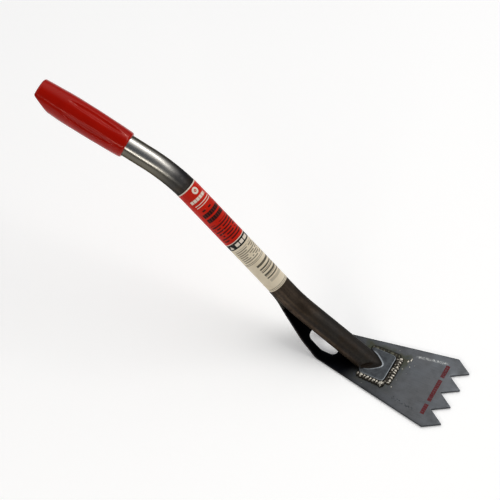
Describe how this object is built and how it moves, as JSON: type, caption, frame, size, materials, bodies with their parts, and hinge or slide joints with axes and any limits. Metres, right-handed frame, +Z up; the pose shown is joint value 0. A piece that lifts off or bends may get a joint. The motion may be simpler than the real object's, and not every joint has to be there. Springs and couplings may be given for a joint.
{
  "type": "roofing shovel",
  "caption": "Short-handled shingle remover: flared toothed steel blade with a bent-up rear tongue, welded to a twice-bent steel tube with a slip-on hand grip.",
  "frame": {"origin": "on the blade's underside, on the symmetry plane, below the middle of the handle's flattened foot", "axes": "+X forwards to the teeth, +Z up, and the handle rises towards -X; the XZ plane is the symmetry plane"},
  "size_m": [0.5285, 0.1016, 0.2672],
  "materials": {
    "tube_steel": "bare bright steel near the grip, darker oxidised steel near the blade",
    "blade_steel": "satin blue-grey mill finish",
    "grip_vinyl": "satin red dipped vinyl",
    "label_film": null,
    "weld_metal": "rippled, heat-stained weld bead"
  },
  "bodies": {
    "root": {"handle_tube": "tube_steel", "blade": "blade_steel", "grip": "grip_vinyl", "label_wrap": "label_film", "foot_weld_left": "weld_metal", "foot_weld_right": "weld_metal", "foot_weld_front": "weld_metal", "tongue_weld": "weld_metal"}
  },
  "joints": []
}
